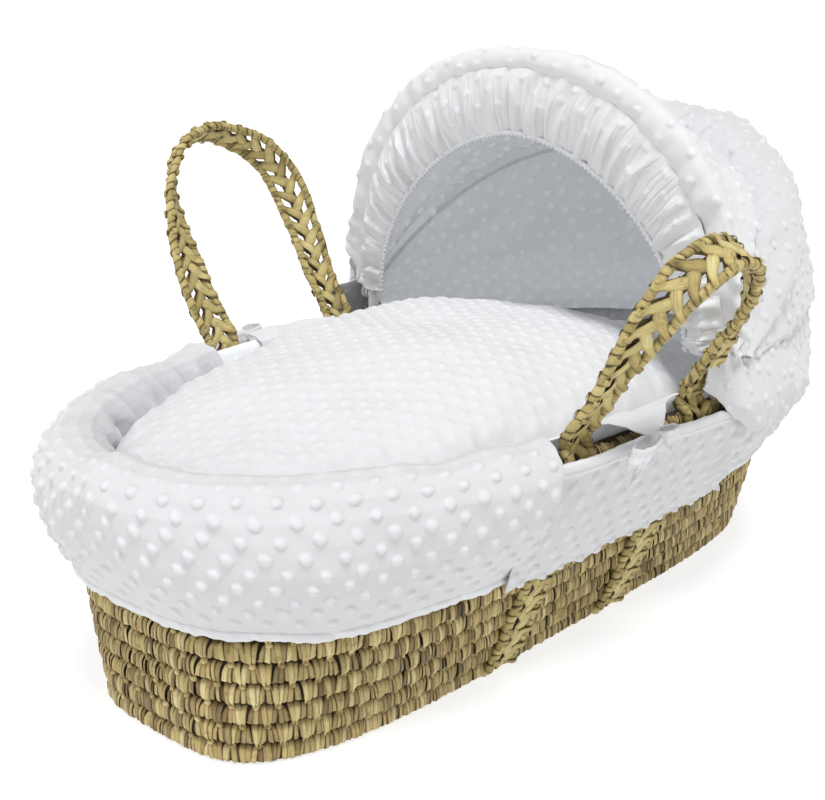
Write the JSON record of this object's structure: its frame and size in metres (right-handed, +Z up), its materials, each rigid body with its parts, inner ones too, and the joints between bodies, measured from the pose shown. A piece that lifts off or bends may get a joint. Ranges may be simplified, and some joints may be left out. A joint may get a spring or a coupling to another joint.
{
  "type": "baby cradle",
  "caption": "Oval palm cradle basket with folding strap handles, padded dimple-fabric dressing, quilt and a folding hood.",
  "frame": {"origin": "middle of the basket's underside, on the floor", "axes": "+X from the foot to the head with the hood, +Z up, -Y the side with the tied bow in view"},
  "size_m": [0.9149, 0.6663, 0.532],
  "materials": {
    "palm_coil": "matte",
    "palm_strap": "matte",
    "dimple_fabric": "soft pile",
    "smooth_cotton": "matte",
    "wadding": "matte",
    "coated_wire": "satin",
    "rivet": "satin"
  },
  "bodies": {
    "basket": {"base_mat": "palm_coil", "wall_row_01": "palm_coil", "wall_row_02": "palm_coil", "wall_row_03": "palm_coil", "wall_row_04": "palm_coil", "wall_row_05": "palm_coil", "wall_row_06": "palm_coil", "wall_row_07": "palm_coil", "wall_row_08": "palm_coil", "wall_row_09": "palm_coil", "wall_row_10": "palm_coil", "wall_row_11": "palm_coil", "rim_row": "palm_coil", "belly_strap_foot": "palm_strap", "belly_strap_head": "palm_strap", "near_lashings": "palm_strap", "far_lashings": "palm_strap", "mattress_foam": "wadding", "mattress_cover": "smooth_cotton", "inner_liner": "dimple_fabric", "rim_padding_foot": "wadding", "rim_padding_head": "wadding", "skirt_foot": "dimple_fabric", "skirt_head": "dimple_fabric", "flap_near": "dimple_fabric", "flap_far": "dimple_fabric", "hem_binding_foot": "smooth_cotton", "hem_binding_head": "smooth_cotton", "flap_binding_near": "smooth_cotton", "flap_binding_far": "smooth_cotton", "tie_bow_near": "smooth_cotton", "tie_bow_far": "smooth_cotton", "quilt_wadding": "wadding", "quilt_cover": "dimple_fabric", "hood_brackets": "coated_wire", "hood_pivot_pins": "rivet", "rear_canopy": "dimple_fabric", "hood_frill": "smooth_cotton"},
    "near_handle": {"near_handle_braid": "palm_strap", "near_handle_cords": "palm_strap", "near_handle_eyes": "palm_strap"},
    "far_handle": {"far_handle_braid": "palm_strap", "far_handle_cords": "palm_strap", "far_handle_eyes": "palm_strap"},
    "hood_rear": {"rear_bow": "coated_wire", "middle_canopy": "dimple_fabric"},
    "hood_front": {"front_bow": "coated_wire", "ruffle_band": "smooth_cotton", "opening_elastic": "smooth_cotton", "front_band": "dimple_fabric", "front_canopy": "dimple_fabric"}
  },
  "joints": [
    {"name": "near_handle_fold", "type": "hinge", "parent": "basket", "child": "near_handle", "pos_m": [-0.036, -0.215, 0.234], "axis": [1, 0, 0], "range_deg": [-75, 68]},
    {"name": "far_handle_fold", "type": "hinge", "parent": "basket", "child": "far_handle", "pos_m": [-0.036, 0.215, 0.234], "axis": [-1, 0, 0], "range_deg": [-72, 68]},
    {"name": "hood_fold", "type": "hinge", "parent": "basket", "child": "hood_rear", "pos_m": [0.088, 0, 0.262], "axis": [0, 1, 0], "range_deg": [0, 36]},
    {"name": "hood_front_fold", "type": "hinge", "parent": "hood_rear", "child": "hood_front", "pos_m": [0.088, 0, 0.262], "axis": [0, 1, 0], "range_deg": [0, 36]}
  ],
  "couplings": [
    {"joint": "hood_front_fold", "follows": "hood_fold", "ratio": 1}
  ]
}
